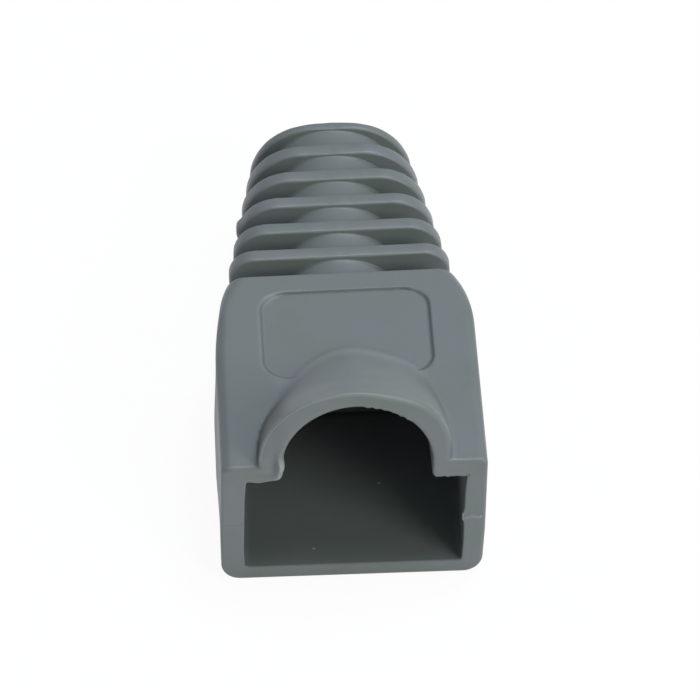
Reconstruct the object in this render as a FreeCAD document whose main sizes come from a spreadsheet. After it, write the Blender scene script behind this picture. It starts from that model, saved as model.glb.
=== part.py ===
import FreeCAD, Part
import math
import os

import Sketcher

# Strain relief boot for an RJ45 plug: one soft moulded piece.
# X runs across the boot, Y from the mouth to the cable end, Z up from the flat underside.
# The profiles are drawn with the mouth at Y = 0, and the finished body is then centred along Y.

SIZES = {
    "body_width": 14.2,
    "body_height": 8.0,
    "body_length": 15.95,
    "top_edge_radius": 0.35,
    "bottom_edge_radius": 1.0,
    "mouth_chamfer": 0.2,
    "rear_chamfer": 0.1,
    "shoulder_length": 4.5,
    "socket_width": 11.76,
    "socket_depth": 12.6,
    "floor_wall": 0.75,
    "top_wall": 1.0,
    "hood_radius": 5.0,
    "hood_wall": 1.0,
    "hood_length": 9.35,
    "hood_edge_radius": 0.3,
    "slot_lip_radius": 0.4,
    "panel_width": 9.1,
    "panel_length": 7.1,
    "panel_rear_margin": 1.6,
    "panel_depth": 0.1,
    "panel_corner_radius": 1.5,
    "root_inset": 0.75,
    "root_corner_radius": 1.1,
    "tip_width": 9.1,
    "tip_drop": 0.34,
    "tip_flat": 0.26,
    "groove_width": 1.37,
    "rib_thickness": 0.92,
    "rib_count": 5,
    "end_ring_thickness": 0.6,
    "rib_chamfer": 0.08,
    "groove_depth": 0.28,
    "core_wall": 0.82,
}

# Slack for comparing places, in millimetres.
TINY = 0.001
# How much of its inset and rounding a shoulder has gained half way along.
SHOULDER_BLEND = 0.25
# How far the hood runs on, as a share of its length, so that its end dies away in the panel.
HOOD_OVERRUN = 1.1


class Size:
    """A length that carries both its number and the expression that gives it."""

    def __init__(self, value, text):
        self.value = value
        self.text = text

    def _join(self, sign, other, value):
        text = other.text if isinstance(other, Size) else repr(other)
        return Size(value, "(%s %s %s)" % (self.text, sign, text))

    def _number(self, other):
        return other.value if isinstance(other, Size) else other

    def __add__(self, other):
        return self._join("+", other, self.value + self._number(other))

    def __sub__(self, other):
        return self._join("-", other, self.value - self._number(other))

    def __mul__(self, other):
        return self._join("*", other, self.value * self._number(other))

    def __truediv__(self, other):
        return self._join("/", other, self.value / self._number(other))


def make_sheet(doc):
    """Write every driving size to the sheet under its own alias."""
    sheet = doc.addObject("Spreadsheet::Sheet", "sizes")
    for row, (name, value) in enumerate(SIZES.items(), start=1):
        sheet.set("A%d" % row, name)
        sheet.set("B%d" % row, str(value))
        sheet.setAlias("B%d" % row, name)
    doc.recompute()
    return sheet


def sheet_sizes(sheet):
    """Read the sheet back as lengths that know their cell."""
    return {name: Size(float(sheet.get(name)), "sizes." + name) for name in SIZES}


def origin_part(body, role):
    """The origin plane or axis of a body that has this role."""
    for feature in body.Origin.OriginFeatures:
        if feature.Role == role:
            return feature
    raise ValueError("no origin feature " + role)


def cross_section(body, name, distance=None):
    """A sketch across the boot: its x is X, its y is Z, and it stands at this distance along Y."""
    sketch = body.newObject("Sketcher::SketchObject", name)
    sketch.AttachmentSupport = (origin_part(body, "XZ_Plane"), [""])
    sketch.MapMode = "FlatFace"
    if distance is not None:
        sketch.setExpression("AttachmentOffset.Base.z", "-" + distance.text)
    return sketch


def dimension(sketch, name, size, kind, *where):
    """Add one named dimension that follows the sheet."""
    index = sketch.addConstraint(Sketcher.Constraint(kind, *where, size.value))
    sketch.renameConstraint(index, name)
    sketch.setExpression("Constraints." + name, size.text)


def line(sketch, x1, y1, x2, y2):
    """Add a straight edge to the sketch and return its number."""
    start = FreeCAD.Vector(x1, y1, 0)
    end = FreeCAD.Vector(x2, y2, 0)
    return sketch.addGeometry(Part.LineSegment(start, end), False)


def arc(sketch, x, y, radius, first_degrees, last_degrees):
    """Add an arc, drawn anticlockwise, to the sketch and return its number."""
    circle = Part.Circle(FreeCAD.Vector(x, y, 0), FreeCAD.Vector(0, 0, 1), radius)
    first = math.radians(first_degrees)
    last = math.radians(last_degrees)
    return sketch.addGeometry(Part.ArcOfCircle(circle, first, last), False)


def join_tangent(sketch, pairs):
    """Join edge ends so that the outline runs smoothly through each joint."""
    for first, first_end, second, second_end in pairs:
        sketch.addConstraint(Sketcher.Constraint("Tangent", first, first_end, second, second_end))


def join_corner(sketch, pairs):
    """Join edge ends at plain corners."""
    for first, first_end, second, second_end in pairs:
        sketch.addConstraint(
            Sketcher.Constraint("Coincident", first, first_end, second, second_end))


def rounded_rectangle(sketch, width, height, top, top_radius, bottom_radius):
    """Draw a rectangle with rounded corners, symmetric about the sketch's y axis."""
    half = width.value / 2
    high = top.value
    low = top.value - height.value
    upper = top_radius.value
    lower = bottom_radius.value
    top_line = line(sketch, -half + upper, high, half - upper, high)
    right_line = line(sketch, half, high - upper, half, low + lower)
    bottom_line = line(sketch, half - lower, low, -half + lower, low)
    left_line = line(sketch, -half, low + lower, -half, high - upper)
    top_right = arc(sketch, half - upper, high - upper, upper, 0, 90)
    bottom_right = arc(sketch, half - lower, low + lower, lower, 270, 360)
    bottom_left = arc(sketch, -half + lower, low + lower, lower, 180, 270)
    top_left = arc(sketch, -half + upper, high - upper, upper, 90, 180)
    join_tangent(sketch, [
        (top_line, 2, top_right, 2),
        (right_line, 1, top_right, 1),
        (right_line, 2, bottom_right, 2),
        (bottom_line, 1, bottom_right, 1),
        (bottom_line, 2, bottom_left, 2),
        (left_line, 1, bottom_left, 1),
        (left_line, 2, top_left, 2),
        (top_line, 1, top_left, 1),
    ])
    sketch.addConstraint(Sketcher.Constraint("Horizontal", bottom_line))
    sketch.addConstraint(Sketcher.Constraint("Vertical", left_line))
    sketch.addConstraint(Sketcher.Constraint("Vertical", right_line))
    sketch.addConstraint(Sketcher.Constraint("Equal", top_right, top_left))
    sketch.addConstraint(Sketcher.Constraint("Equal", bottom_right, bottom_left))
    sketch.addConstraint(Sketcher.Constraint("Symmetric", top_line, 1, top_line, 2, -2))
    dimension(sketch, "width", width, "DistanceX", left_line, 1, right_line, 2)
    dimension(sketch, "height", height, "DistanceY", bottom_line, 1, top_line, 1)
    dimension(sketch, "top", top, "DistanceY", -1, 1, top_line, 1)
    dimension(sketch, "top_radius", top_radius, "Radius", top_right)
    dimension(sketch, "bottom_radius", bottom_radius, "Radius", bottom_right)


def arch_outline(sketch, radius, spring, foot):
    """Draw a round arch on two straight legs, closed by a flat foot."""
    reach = radius.value
    crown = arc(sketch, 0, spring.value, reach, 0, 180)
    right_leg = line(sketch, reach, spring.value, reach, foot.value)
    foot_line = line(sketch, reach, foot.value, -reach, foot.value)
    left_leg = line(sketch, -reach, foot.value, -reach, spring.value)
    join_tangent(sketch, [
        (right_leg, 1, crown, 1),
        (left_leg, 2, crown, 2),
    ])
    join_corner(sketch, [
        (right_leg, 2, foot_line, 1),
        (foot_line, 2, left_leg, 1),
    ])
    sketch.addConstraint(Sketcher.Constraint("Vertical", right_leg))
    sketch.addConstraint(Sketcher.Constraint("Horizontal", foot_line))
    sketch.addConstraint(Sketcher.Constraint("PointOnObject", crown, 3, -2))
    dimension(sketch, "radius", radius, "Radius", crown)
    dimension(sketch, "spring", spring, "DistanceY", -1, 1, crown, 3)
    dimension(sketch, "foot", foot, "DistanceY", -1, 1, foot_line, 1)


def lipped_arch_outline(sketch, radius, spring, lip_radius, ledge, foot):
    """Draw a round arch whose legs turn outwards over rounded lips, above a flat foot."""
    reach = radius.value
    lip = lip_radius.value
    wide = reach + lip
    bend = ledge.value + lip
    crown = arc(sketch, 0, spring.value, reach, 0, 180)
    right_leg = line(sketch, reach, spring.value, reach, bend)
    right_lip = arc(sketch, wide, bend, lip, 180, 270)
    right_side = line(sketch, wide, ledge.value, wide, foot.value)
    foot_line = line(sketch, wide, foot.value, -wide, foot.value)
    left_side = line(sketch, -wide, foot.value, -wide, ledge.value)
    left_lip = arc(sketch, -wide, bend, lip, 270, 360)
    left_leg = line(sketch, -reach, bend, -reach, spring.value)
    join_tangent(sketch, [
        (right_leg, 1, crown, 1),
        (right_leg, 2, right_lip, 1),
        (left_leg, 1, left_lip, 2),
        (left_leg, 2, crown, 2),
    ])
    join_corner(sketch, [
        (right_lip, 2, right_side, 1),
        (right_side, 2, foot_line, 1),
        (foot_line, 2, left_side, 1),
        (left_side, 2, left_lip, 1),
    ])
    sketch.addConstraint(Sketcher.Constraint("Vertical", right_leg))
    sketch.addConstraint(Sketcher.Constraint("Vertical", right_side))
    sketch.addConstraint(Sketcher.Constraint("Vertical", left_side))
    sketch.addConstraint(Sketcher.Constraint("Horizontal", foot_line))
    sketch.addConstraint(Sketcher.Constraint("PointOnObject", crown, 3, -2))
    sketch.addConstraint(Sketcher.Constraint("Vertical", right_lip, 3, right_lip, 2))
    sketch.addConstraint(Sketcher.Constraint("Vertical", left_lip, 3, left_lip, 1))
    sketch.addConstraint(Sketcher.Constraint("Equal", right_lip, left_lip))
    sketch.addConstraint(Sketcher.Constraint("Horizontal", right_lip, 2, left_lip, 1))
    dimension(sketch, "radius", radius, "Radius", crown)
    dimension(sketch, "spring", spring, "DistanceY", -1, 1, crown, 3)
    dimension(sketch, "lip_radius", lip_radius, "Radius", right_lip)
    dimension(sketch, "ledge", ledge, "DistanceY", -1, 1, right_lip, 2)
    dimension(sketch, "foot", foot, "DistanceY", -1, 1, foot_line, 1)


def plain_rectangle(sketch, width, height, top):
    """Draw a rectangle with sharp corners, symmetric about the sketch's y axis."""
    half = width.value / 2
    high = top.value
    low = top.value - height.value
    top_line = line(sketch, -half, high, half, high)
    right_line = line(sketch, half, high, half, low)
    bottom_line = line(sketch, half, low, -half, low)
    left_line = line(sketch, -half, low, -half, high)
    join_corner(sketch, [
        (top_line, 2, right_line, 1),
        (right_line, 2, bottom_line, 1),
        (bottom_line, 2, left_line, 1),
        (left_line, 2, top_line, 1),
    ])
    sketch.addConstraint(Sketcher.Constraint("Horizontal", bottom_line))
    sketch.addConstraint(Sketcher.Constraint("Vertical", left_line))
    sketch.addConstraint(Sketcher.Constraint("Vertical", right_line))
    sketch.addConstraint(Sketcher.Constraint("Symmetric", top_line, 1, top_line, 2, -2))
    dimension(sketch, "width", width, "DistanceX", left_line, 1, right_line, 2)
    dimension(sketch, "height", height, "DistanceY", bottom_line, 1, top_line, 1)
    dimension(sketch, "top", top, "DistanceY", -1, 1, top_line, 1)


def centred_circle(sketch, radius, centre_height):
    """Draw a circle on the sketch's y axis."""
    centre = FreeCAD.Vector(0, centre_height.value, 0)
    shape = Part.Circle(centre, FreeCAD.Vector(0, 0, 1), radius.value)
    circle = sketch.addGeometry(shape, False)
    sketch.addConstraint(Sketcher.Constraint("PointOnObject", circle, 3, -2))
    dimension(sketch, "centre_height", centre_height, "DistanceY", -1, 1, circle, 3)
    dimension(sketch, "radius", radius, "Radius", circle)


def pad(body, name, sketch, length):
    """Extrude a profile towards the cable end."""
    feature = body.newObject("PartDesign::Pad", name)
    feature.Profile = sketch
    feature.Reversed = True
    feature.setExpression("Length", length.text)


def pocket(body, name, sketch, length):
    """Cut a profile out of the body, against the sketch's normal."""
    feature = body.newObject("PartDesign::Pocket", name)
    feature.Profile = sketch
    feature.setExpression("Length", length.text)
    return feature


def loft(body, kind, name, sections, ruled):
    """Add or take away the skin over cross-sections, in order."""
    feature = body.newObject("PartDesign::" + kind, name)
    feature.Profile = sections[0]
    feature.Sections = sections[1:]
    feature.Ruled = ruled


def chamfer(body, name, test, width):
    """Take the sharpness off the edges of the body so far that pass a test."""
    body.Document.recompute()
    base = body.Tip
    edges = enumerate(base.Shape.Edges, start=1)
    names = ["Edge%d" % number for number, edge in edges if test(edge.BoundBox)]
    feature = body.newObject("PartDesign::Chamfer", name)
    feature.Base = (base, names)
    feature.setExpression("Size", width.text)


def root_width(size):
    """The width that the shoulders narrow to, where the neck begins."""
    return size["body_width"] - size["root_inset"] * 2


def main_block(body, size):
    """The box that holds the plug: a straight stretch, then shoulders that narrow to the neck."""
    straight = size["body_length"] - size["shoulder_length"]
    edges = (size["top_edge_radius"], size["bottom_edge_radius"])
    front = cross_section(body, "mouth_section")
    rounded_rectangle(front, size["body_width"], size["body_height"], size["body_height"], *edges)
    pad(body, "straight_block", front, straight)
    chamfer(body, "mouth_edges", lambda box: box.YMax < TINY, size["mouth_chamfer"])

    inset = size["root_inset"] * 2
    start = cross_section(body, "shoulder_start", straight)
    rounded_rectangle(start, size["body_width"], size["body_height"], size["body_height"], *edges)
    middle = cross_section(body, "shoulder_middle", straight + size["shoulder_length"] / 2)
    corner = size["root_corner_radius"]
    blend = [edge + (corner - edge) * SHOULDER_BLEND for edge in edges]
    width = size["body_width"] - inset * SHOULDER_BLEND
    rounded_rectangle(middle, width, size["body_height"], size["body_height"], *blend)
    end = cross_section(body, "shoulder_end", size["body_length"])
    rounded_rectangle(
        end, root_width(size), size["body_height"], size["body_height"], corner, corner)
    loft(body, "AdditiveLoft", "shoulders", [start, middle, end], False)
    rear = size["body_length"].value - TINY
    chamfer(body, "rear_edges", lambda box: box.YMin > rear, size["rear_chamfer"])


def neck_length(size):
    """All grooves, all ribs and the ring at the cable end."""
    grooves = (size["rib_count"] + 1) * size["groove_width"]
    return grooves + size["rib_count"] * size["rib_thickness"] + size["end_ring_thickness"]


def rib(body, size, name, start, thickness):
    """One rib of the neck, whose outline lies between the body's rear end and the neck's tip."""
    share = (start + thickness / 2 - size["body_length"]) / neck_length(size)
    width = root_width(size) - (root_width(size) - size["tip_width"]) * share
    height = size["body_height"] - size["tip_drop"] * share
    tip_corner = (size["body_height"] - size["tip_drop"] - size["tip_flat"]) / 2
    corner = size["root_corner_radius"] + (tip_corner - size["root_corner_radius"]) * share
    top = (size["body_height"] + height) / 2
    outline = cross_section(body, name + "_outline", start)
    rounded_rectangle(outline, width, height, top, corner, corner)
    pad(body, name, outline, thickness)


def core_radius(size):
    """The neck's core, which the grooves leave at this depth below the body's top."""
    return size["body_height"] / 2 - size["groove_depth"]


def neck(body, size):
    """The flexible neck: a round core with ribs that turn from nearly square to nearly round."""
    start = size["body_length"]
    section = cross_section(body, "core_section", start)
    centred_circle(section, core_radius(size), size["body_height"] / 2)
    pad(body, "core", section, neck_length(size))
    for number in range(int(size["rib_count"].value)):
        start = start + size["groove_width"]
        rib(body, size, "rib_%d" % (number + 1), start, size["rib_thickness"])
        start = start + size["rib_thickness"]
    start = start + size["groove_width"]
    rib(body, size, "end_ring", start, size["end_ring_thickness"])

    core = core_radius(size).value * 2

    def is_rim(box):
        across = box.YLength < TINY and box.YMin > size["body_length"].value + TINY
        is_core = box.XLength > core - TINY and abs(box.ZLength - core) < TINY
        return across and not is_core

    chamfer(body, "rib_edges", is_rim, size["rib_chamfer"])


def panel(body, size):
    """The shallow recess in the top face, which runs in under the hood."""
    sketch = body.newObject("Sketcher::SketchObject", "panel_outline")
    sketch.AttachmentSupport = (origin_part(body, "XY_Plane"), [""])
    sketch.MapMode = "FlatFace"
    sketch.setExpression("AttachmentOffset.Base.z", size["body_height"].text)
    corner = size["panel_corner_radius"]
    rear = size["body_length"] - size["panel_rear_margin"]
    rounded_rectangle(sketch, size["panel_width"], size["panel_length"], rear, corner, corner)
    pocket(body, "panel", sketch, size["panel_depth"])


def hood(body, size):
    """The arched hood over the plug's latch, with a rounded front edge."""
    slope = size["hood_radius"] / size["hood_length"]
    edge = size["hood_edge_radius"]
    none = edge * 0
    # The middle of the front edge's quarter round lies this share of its radius from each face.
    middle = edge * (1 - math.sqrt(0.5))
    # Places along Y, each with the amount that the rounding takes off the arch's radius there.
    places = [
        (none, edge),
        (middle, middle),
        (edge, none),
        (size["hood_length"] * HOOD_OVERRUN, none),
    ]
    sections = []
    for number, (distance, inset) in enumerate(places):
        section = cross_section(body, "hood_section_%d" % number, distance)
        spring = size["body_height"] - distance * slope
        arch_outline(section, size["hood_radius"] - inset, spring, spring - size["top_wall"])
        sections.append(section)
    loft(body, "AdditiveLoft", "hood", sections, True)


def hood_slot(body, size):
    """The hollow of the hood, which opens down into the plug socket between two rounded lips."""
    slope = size["hood_radius"] / size["hood_length"]
    inner = size["hood_radius"] - size["hood_wall"]
    ceiling = size["body_height"] - size["top_wall"]
    edge = size["mouth_chamfer"]
    none = edge * 0
    # Places along Y, each with the amount that the mouth's chamfer widens the slot by there.
    places = [(none, edge), (edge, none), (size["hood_length"], none)]
    sections = []
    for number, (distance, flare) in enumerate(places):
        fall = distance * slope
        lip = size["slot_lip_radius"] - flare
        ledge = ceiling + flare - fall
        section = cross_section(body, "slot_section_%d" % number, distance)
        spring = size["body_height"] - fall
        lipped_arch_outline(section, inner + flare, spring, lip, ledge, ledge - lip)
        sections.append(section)
    loft(body, "SubtractiveLoft", "hood_slot", sections, True)


def plug_socket(body, size):
    """The square socket for the plug, chamfered round its mouth."""
    edge = size["mouth_chamfer"]
    none = edge * 0
    places = [(none, edge), (edge, none), (size["socket_depth"], none)]
    sections = []
    for number, (distance, flare) in enumerate(places):
        top = size["body_height"] - size["top_wall"] + flare
        width = size["socket_width"] + flare * 2
        section = cross_section(body, "socket_section_%d" % number, distance)
        plain_rectangle(section, width, top - size["floor_wall"] + flare, top)
        sections.append(section)
    loft(body, "SubtractiveLoft", "plug_socket", sections, True)


def cable_bore(body, size):
    """The round way out for the cable, through the neck."""
    outline = cross_section(body, "bore_outline", size["socket_depth"])
    centred_circle(outline, core_radius(size) - size["core_wall"], size["body_height"] / 2)
    length = size["body_length"] + neck_length(size) - size["socket_depth"]
    pocket(body, "cable_bore", outline, length)


def build_boot(doc, size):
    """The whole boot as one body."""
    body = doc.addObject("PartDesign::Body", "strain_relief_boot")
    body.Label = "strain_relief_boot"
    main_block(body, size)
    neck(body, size)
    panel(body, size)
    hood(body, size)
    hood_slot(body, size)
    plug_socket(body, size)
    cable_bore(body, size)
    length = size["body_length"] + neck_length(size)
    body.setExpression("Placement.Base.y", "-" + (length / 2).text)
    return body


def check(doc, bodies):
    """Stop if any object failed or any body is not one valid solid."""
    for item in doc.Objects:
        if "Invalid" in item.State or "Error" in item.State:
            raise RuntimeError("failed object " + item.Name)
    for body in bodies:
        if body.Shape.isNull() or not body.Shape.isValid() or len(body.Shape.Solids) != 1:
            raise RuntimeError("bad shape " + body.Label)


def main():
    """Build the document and write its part."""
    doc = FreeCAD.newDocument("strain_relief_boot")
    sheet = make_sheet(doc)
    boot = build_boot(doc, sheet_sizes(sheet))
    doc.recompute()
    check(doc, [boot])
    os.makedirs("parts", exist_ok=True)
    boot.Shape.exportStep("parts/" + boot.Label + ".step")
    box = boot.Shape.BoundBox
    print("volume", boot.Shape.Volume, "box", box.XLength, box.YLength, box.ZLength)


main()
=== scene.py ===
"""RJ45 strain relief boot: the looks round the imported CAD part.

Sizes are in millimetres, with the mouth at zero along Y, and turn into the frame's metres when a
mesh is made. Directions round the part run from its right-hand side (+X) over its top (+Z).
"""

import logging
import math
from dataclasses import dataclass, field
from enum import Enum

import bpy
import numpy as np
from mathutils import Matrix, Vector


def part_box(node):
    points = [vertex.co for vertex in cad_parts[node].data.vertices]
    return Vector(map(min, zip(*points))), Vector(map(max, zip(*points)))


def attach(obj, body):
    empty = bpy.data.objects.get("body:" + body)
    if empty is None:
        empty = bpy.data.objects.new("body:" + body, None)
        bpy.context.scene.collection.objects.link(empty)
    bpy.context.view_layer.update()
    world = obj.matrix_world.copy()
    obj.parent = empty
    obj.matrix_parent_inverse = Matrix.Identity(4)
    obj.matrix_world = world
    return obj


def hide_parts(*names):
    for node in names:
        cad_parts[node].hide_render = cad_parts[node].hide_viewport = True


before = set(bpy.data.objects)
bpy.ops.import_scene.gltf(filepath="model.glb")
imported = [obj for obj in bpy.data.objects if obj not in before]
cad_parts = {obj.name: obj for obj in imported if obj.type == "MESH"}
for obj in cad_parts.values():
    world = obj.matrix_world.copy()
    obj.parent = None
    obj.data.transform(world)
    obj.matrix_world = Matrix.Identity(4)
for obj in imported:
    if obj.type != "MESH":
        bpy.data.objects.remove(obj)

MM = 0.001
NODE = "strain_relief_boot"
BODY = "root"
# The pale mark holds thin flash and painted highlights.
PALE = "flash_and_painted_highlight"
# The shaded mark holds painted shade.
SHADED = "painted_shade"
LOG = logging.getLogger("boot")

# Guards a division, tells touching from apart, and keeps a drawn-in corner round.
TINY = 1e-9
TOUCHING = 1e-4
LEAST_CORNER = 0.05
QUARTER_TURN = np.radians([0.0, 30.0, 60.0, 90.0])

# Share, pace and start of each wave that makes up an uneven line.
RAG_WAVES = ((0.5, 9.1, 1.3), (0.3, 21.7, 0.4), (0.2, 37.3, 2.1))

# A stretch of directions stops just short of its end, where the next one starts.
STOP_SHORT = 1e-6

# At this weight a normal follows the largest face beside it, so flat faces shade flat.
LARGEST_FACE = 100

# A colour Mix node holds its sockets for colours behind those for numbers and vectors.
MIX_SHARE, MIX_FIRST, MIX_SECOND, MIX_RESULT = 0, 6, 7, 2


def srgb(code: str) -> tuple[float, float, float, float]:
    """Turn an sRGB hex colour into the linear values that a shader takes.

    Args:
        code: Six hex digits.

    Returns:
        Linear red, green and blue, and an alpha of one.
    """
    channels = []
    for start in (0, 2, 4):
        value = int(code[start:start + 2], 16) / 255
        channels.append(value / 12.92 if value <= 0.04045 else ((value + 0.055) / 1.055) ** 2.4)
    return (channels[0], channels[1], channels[2], 1.0)


def add_node(tree: bpy.types.NodeTree, kind: str, settings: dict[str | int, object],
             links: dict[str | int, bpy.types.NodeSocket]) -> bpy.types.Node:
    """Add a shader node, set it up and link what feeds it.

    Args:
        tree: The node tree that it goes into.
        kind: The node's type name.
        settings: Values by an input's name or number, or by attribute where there is no such input.
        links: Output sockets by the name or number of the input that they feed.

    Returns:
        The new node.
    """
    node = tree.nodes.new(kind)
    for name, value in settings.items():
        if isinstance(name, int) or name in node.inputs:
            node.inputs[name].default_value = value
        else:
            setattr(node, name, value)
    for name, socket in links.items():
        tree.links.new(socket, node.inputs[name])
    return node


def direction(azimuth: float, elevation: float) -> Vector:
    """Point from the part to a place round it.

    Args:
        azimuth: Degrees from the front, towards the right-hand side.
        elevation: Degrees above the floor.

    Returns:
        The direction, one long.
    """
    round_part, above = math.radians(azimuth), math.radians(elevation)
    return Vector((math.sin(round_part) * math.cos(above),
                   -math.cos(round_part) * math.cos(above), math.sin(above)))


def rounded_box_reach(angles: np.ndarray, half: float, up: float, down: float,
                      top_corner: float, bottom_corner: float) -> np.ndarray:
    """Find how far a rounded box reaches from the axis.

    Args:
        angles: Directions round the axis, in radians.
        half: Half its width.
        up: Its height above the axis.
        down: Its depth below the axis.
        top_corner: The radius of its two upper corners.
        bottom_corner: The radius of its two lower corners.

    Returns:
        The distance from the axis to its outline in each direction.
    """
    across = np.maximum(np.abs(np.cos(angles)), TINY)
    steep = np.maximum(np.abs(np.sin(angles)), TINY)
    above = np.sin(angles) >= 0
    limit = np.where(above, up, down)
    corner = np.where(above, top_corner, bottom_corner)
    reach = np.minimum(half / across, limit / steep)
    centre_x = half - corner
    centre_z = limit - corner
    in_corner = (reach * across > centre_x) & (reach * steep > centre_z)
    along = across * centre_x + steep * centre_z
    inside = along ** 2 - centre_x ** 2 - centre_z ** 2 + corner ** 2
    return np.where(in_corner, along + np.sqrt(np.maximum(inside, 0)), reach)


def arch_reach(angles: np.ndarray, radius: float | np.ndarray,
               spring: float | np.ndarray) -> np.ndarray:
    """Find how far a round arch on straight legs reaches from the axis.

    Args:
        angles: Directions round the axis, in radians.
        radius: The arch's radius.
        spring: The height of the arch's centre above the axis.

    Returns:
        The distance in each direction, and zero below the axis.
    """
    rise = np.sin(angles)
    leg = radius / np.maximum(np.abs(np.cos(angles)), TINY)
    along = rise * spring
    arc = along + np.sqrt(np.maximum(along ** 2 - spring ** 2 + radius ** 2, 0))
    reach = np.where(leg * rise < spring, leg, arc)
    return np.where(rise > 0, reach, 0)


def soft_max(first: np.ndarray, second: np.ndarray, blend: float) -> np.ndarray:
    """Take the larger of two reaches, with a fillet where they meet.

    Args:
        first: One reach in each direction.
        second: The other.
        blend: How wide the fillet is.

    Returns:
        The joined reach.
    """
    share = np.clip(0.5 + 0.5 * (first - second) / blend, 0, 1)
    return second + (first - second) * share + blend * share * (1 - share)


def smooth_step(value: float | np.ndarray) -> float | np.ndarray:
    """Ease from 0 to 1 as the value goes from 0 to 1."""
    held = np.clip(value, 0, 1)
    return held * held * (3 - 2 * held)


def edge_inset(along: float, radius: float | np.ndarray) -> float | np.ndarray:
    """Tell how far a rounded edge draws the outline in, at a distance from its face."""
    return radius - np.sqrt(np.maximum(radius ** 2 - np.maximum(radius - along, 0) ** 2, 0))


@dataclass(frozen=True)
class Bump:
    """A swelling that is full at one place and fades smoothly to both sides."""

    place: float
    spread: float
    size: float = 1.0

    def at(self, where: np.ndarray) -> np.ndarray:
        """Give how much of it there is at each place."""
        return self.size * np.exp(-((where - self.place) / self.spread) ** 2)


@dataclass(frozen=True)
class Ramp:
    """A smooth change, from none at one place to all of it at another."""

    none: float
    full: float

    def at(self, where: float | np.ndarray) -> float | np.ndarray:
        """Give how much of it there is at each place."""
        return smooth_step((where - self.none) / (self.full - self.none))


@dataclass(frozen=True)
class Slope:
    """A straight change, from none at one place to all of it at another."""

    none: float
    full: float

    def at(self, where: np.ndarray) -> np.ndarray:
        """Give how much of it there is at each place."""
        return np.clip((where - self.none) / (self.full - self.none), 0, 1)


@dataclass(frozen=True)
class Rag:
    """An uneven line, as a torn or worn edge has: how far it strays, and how quickly."""

    size: float
    pace: float

    def at(self, where: np.ndarray) -> np.ndarray:
        """Give how far it strays at each place in millimetres."""
        place = where * self.pace
        return self.size * sum(share * np.sin(place * pace + start)
                               for share, pace, start in RAG_WAVES)


@dataclass(frozen=True)
class Span:
    """The places between two limits."""

    low: float
    high: float

    def holds(self, where: np.ndarray) -> np.ndarray:
        """Tell which places lie between the limits."""
        return (where > self.low) & (where < self.high)


class Zone(Enum):
    """The stretches of the skin, in the order in which its rings run."""

    OUTSIDE = "outside"
    NECK = "neck"
    BORE = "bore"
    SOCKET = "socket"


@dataclass
class Ring:
    """One closed loop of the skin: its reach from the axis and its place along Y."""

    zone: Zone
    reach: np.ndarray
    along: np.ndarray


@dataclass
class Skin:
    """The skin's places in rows, how far faults move them, and flash and painted light and shade.
    """

    places: np.ndarray
    zones: np.ndarray
    shift: np.ndarray
    pale: np.ndarray
    shaded: np.ndarray

    @classmethod
    def of_rings(cls, rings: list[Ring], angles: np.ndarray, axis: float) -> "Skin":
        """Lay the rings out as rows of places.

        Args:
            rings: The rings in order.
            angles: Directions round the axis.
            axis: The height of the axis.

        Returns:
            The skin, with no faults yet.
        """
        places = np.stack([np.stack([ring.reach * np.cos(angles), ring.along,
                                     axis + ring.reach * np.sin(angles)], axis=-1)
                           for ring in rings])
        zones = np.array([ring.zone.value for ring in rings])[:, None]
        plain = np.zeros(places.shape[:2])
        return cls(places, zones, np.zeros_like(places), plain, plain.copy())

    @property
    def across(self) -> np.ndarray:
        """Give the places along X, before any fault."""
        return self.places[..., 0]

    @property
    def along(self) -> np.ndarray:
        """Give the places along Y, before any fault."""
        return self.places[..., 1]

    @property
    def height(self) -> np.ndarray:
        """Give the heights, before any fault."""
        return self.places[..., 2]

    def in_zone(self, zone: Zone) -> np.ndarray:
        """Tell which rows belong to a zone."""
        return self.zones == zone.value

    def turn(self, axis: float) -> np.ndarray:
        """Give the direction of each place round the axis, in degrees."""
        return np.degrees(np.arctan2(self.height - axis, self.across))

    def move(self, where: np.ndarray | bool, x: float | np.ndarray = 0.0,
             y: float | np.ndarray = 0.0, z: float | np.ndarray = 0.0) -> None:
        """Move the places of a region.

        Args:
            where: The region.
            x: How far along X.
            y: How far along Y.
            z: How far up.
        """
        for number, distance in enumerate((x, y, z)):
            self.shift[..., number] += np.where(where, distance, 0)

    def lighten(self, where: np.ndarray, share: float | np.ndarray) -> None:
        """Make a region paler: thin flash, which is pale, and painted highlights."""
        self.pale += np.where(where, share, 0)

    def shade(self, where: np.ndarray, share: float | np.ndarray) -> None:
        """Make a region darker with painted shade."""
        self.shaded += np.where(where, share, 0)


@dataclass
class Panel:
    """The shallow recess in the top face, which reaches a little further on its right."""

    width: float = 9.1
    front: float = 7.25
    rear: float = 14.45
    corner: float = 1.5
    depth: float = 0.13
    wall: float = 0.1
    right_stretch: float = 0.044

    def drop(self, across: np.ndarray, along: float) -> np.ndarray:
        """Find how far the panel lowers the top face.

        Args:
            across: Places along X.
            along: The place along Y.

        Returns:
            The drop at each place.
        """
        side = np.abs(across) - (self.width / 2 - self.corner)
        straight = (self.rear - self.front) / 2 - self.corner
        end = abs(along - (self.front + self.rear) / 2) - straight
        outer = np.hypot(np.maximum(side, 0), max(end, 0)) + np.minimum(np.maximum(side, end), 0)
        return self.depth * smooth_step((self.corner - outer) / self.wall + 0.5)


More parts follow.
